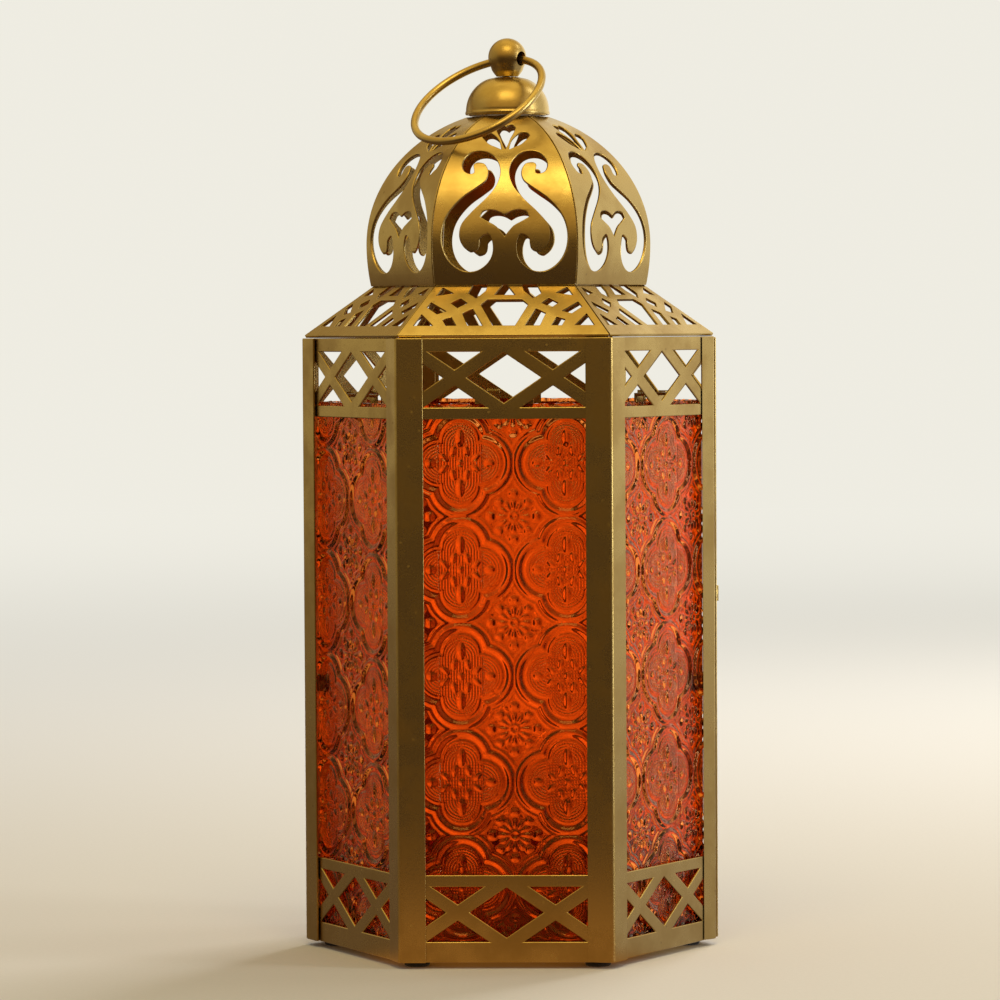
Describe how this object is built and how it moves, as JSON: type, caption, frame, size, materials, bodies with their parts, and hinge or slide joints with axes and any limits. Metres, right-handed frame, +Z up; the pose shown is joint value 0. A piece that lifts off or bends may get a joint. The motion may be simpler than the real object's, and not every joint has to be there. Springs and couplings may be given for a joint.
{
  "type": "moroccan lantern",
  "caption": "Hexagonal pierced-metal candle lantern with amber pressed-glass panes, a hinged door with a turn latch, a scrolled dome roof, and a ring handle through a ball finial.",
  "frame": {"origin": "middle of the base, on the plane under the feet", "axes": "+Z up, -Y out of the front pane, +X to the right of the front pane; the door is on the rear right face"},
  "size_m": [0.1335, 0.1182, 0.2915],
  "materials": {
    "gold_metal": "satin antique gold on sheet metal",
    "amber_glass": "pressed relief outside, smooth inside",
    "foot_rubber": "matt",
    "pin_steel": "satin"
  },
  "bodies": {
    "lantern": {"base_tray": "gold_metal", "bottom_fret_front": "gold_metal", "bottom_fret_front_left": "gold_metal", "bottom_fret_front_right": "gold_metal", "bottom_fret_rear": "gold_metal", "bottom_fret_rear_left": "gold_metal", "candle_cup": "gold_metal", "cap": "gold_metal", "crown_disc": "gold_metal", "dome_gore_front": "gold_metal", "dome_gore_front_left": "gold_metal", "dome_gore_front_right": "gold_metal", "dome_gore_rear": "gold_metal", "dome_gore_rear_left": "gold_metal", "dome_gore_rear_right": "gold_metal", "finial_ball": "gold_metal", "finial_screw": "pin_steel", "foot_corner_0": "foot_rubber", "foot_corner_120": "foot_rubber", "foot_corner_180": "foot_rubber", "foot_corner_240": "foot_rubber", "foot_corner_300": "foot_rubber", "foot_corner_60": "foot_rubber", "glass_pane_front": "amber_glass", "glass_pane_front_left": "amber_glass", "glass_pane_front_right": "amber_glass", "glass_pane_rear": "amber_glass", "glass_pane_rear_left": "amber_glass", "hinge_leaf_post_lower": "gold_metal", "hinge_leaf_post_upper": "gold_metal", "hinge_pin_lower": "pin_steel", "hinge_pin_upper": "pin_steel", "post_corner_0": "gold_metal", "post_corner_120": "gold_metal", "post_corner_180": "gold_metal", "post_corner_240": "gold_metal", "post_corner_300": "gold_metal", "post_corner_60": "gold_metal", "roof_plate_front": "gold_metal", "roof_plate_front_left": "gold_metal", "roof_plate_front_right": "gold_metal", "roof_plate_rear": "gold_metal", "roof_plate_rear_left": "gold_metal", "roof_plate_rear_right": "gold_metal", "top_fret_front": "gold_metal", "top_fret_front_left": "gold_metal", "top_fret_front_right": "gold_metal", "top_fret_rear": "gold_metal", "top_fret_rear_left": "gold_metal"},
    "door": {"door_frame": "gold_metal", "glass_pane_door": "amber_glass", "hinge_leaf_door_lower": "gold_metal", "hinge_leaf_door_upper": "gold_metal"},
    "latch": {"latch_knob": "gold_metal", "latch_cam": "gold_metal"},
    "handle": {"ring_handle": "gold_metal"}
  },
  "joints": [
    {"name": "door_swing", "type": "hinge", "parent": "lantern", "child": "door", "pos_m": [0.03419, 0.05921, 0.1], "axis": [0, 0, 1], "range_deg": [0, 200]},
    {"name": "latch_turn", "type": "hinge", "parent": "door", "child": "latch", "pos_m": [0.06433, 0.00411, 0.113], "axis": [0.866, 0.5, 0], "range_deg": [0, 90]},
    {"name": "handle_swing", "type": "hinge", "parent": "lantern", "child": "handle", "pos_m": [0, 0, 0.28483], "axis": [-0.809, 0.5878, 0], "range_deg": [0, 255]}
  ]
}
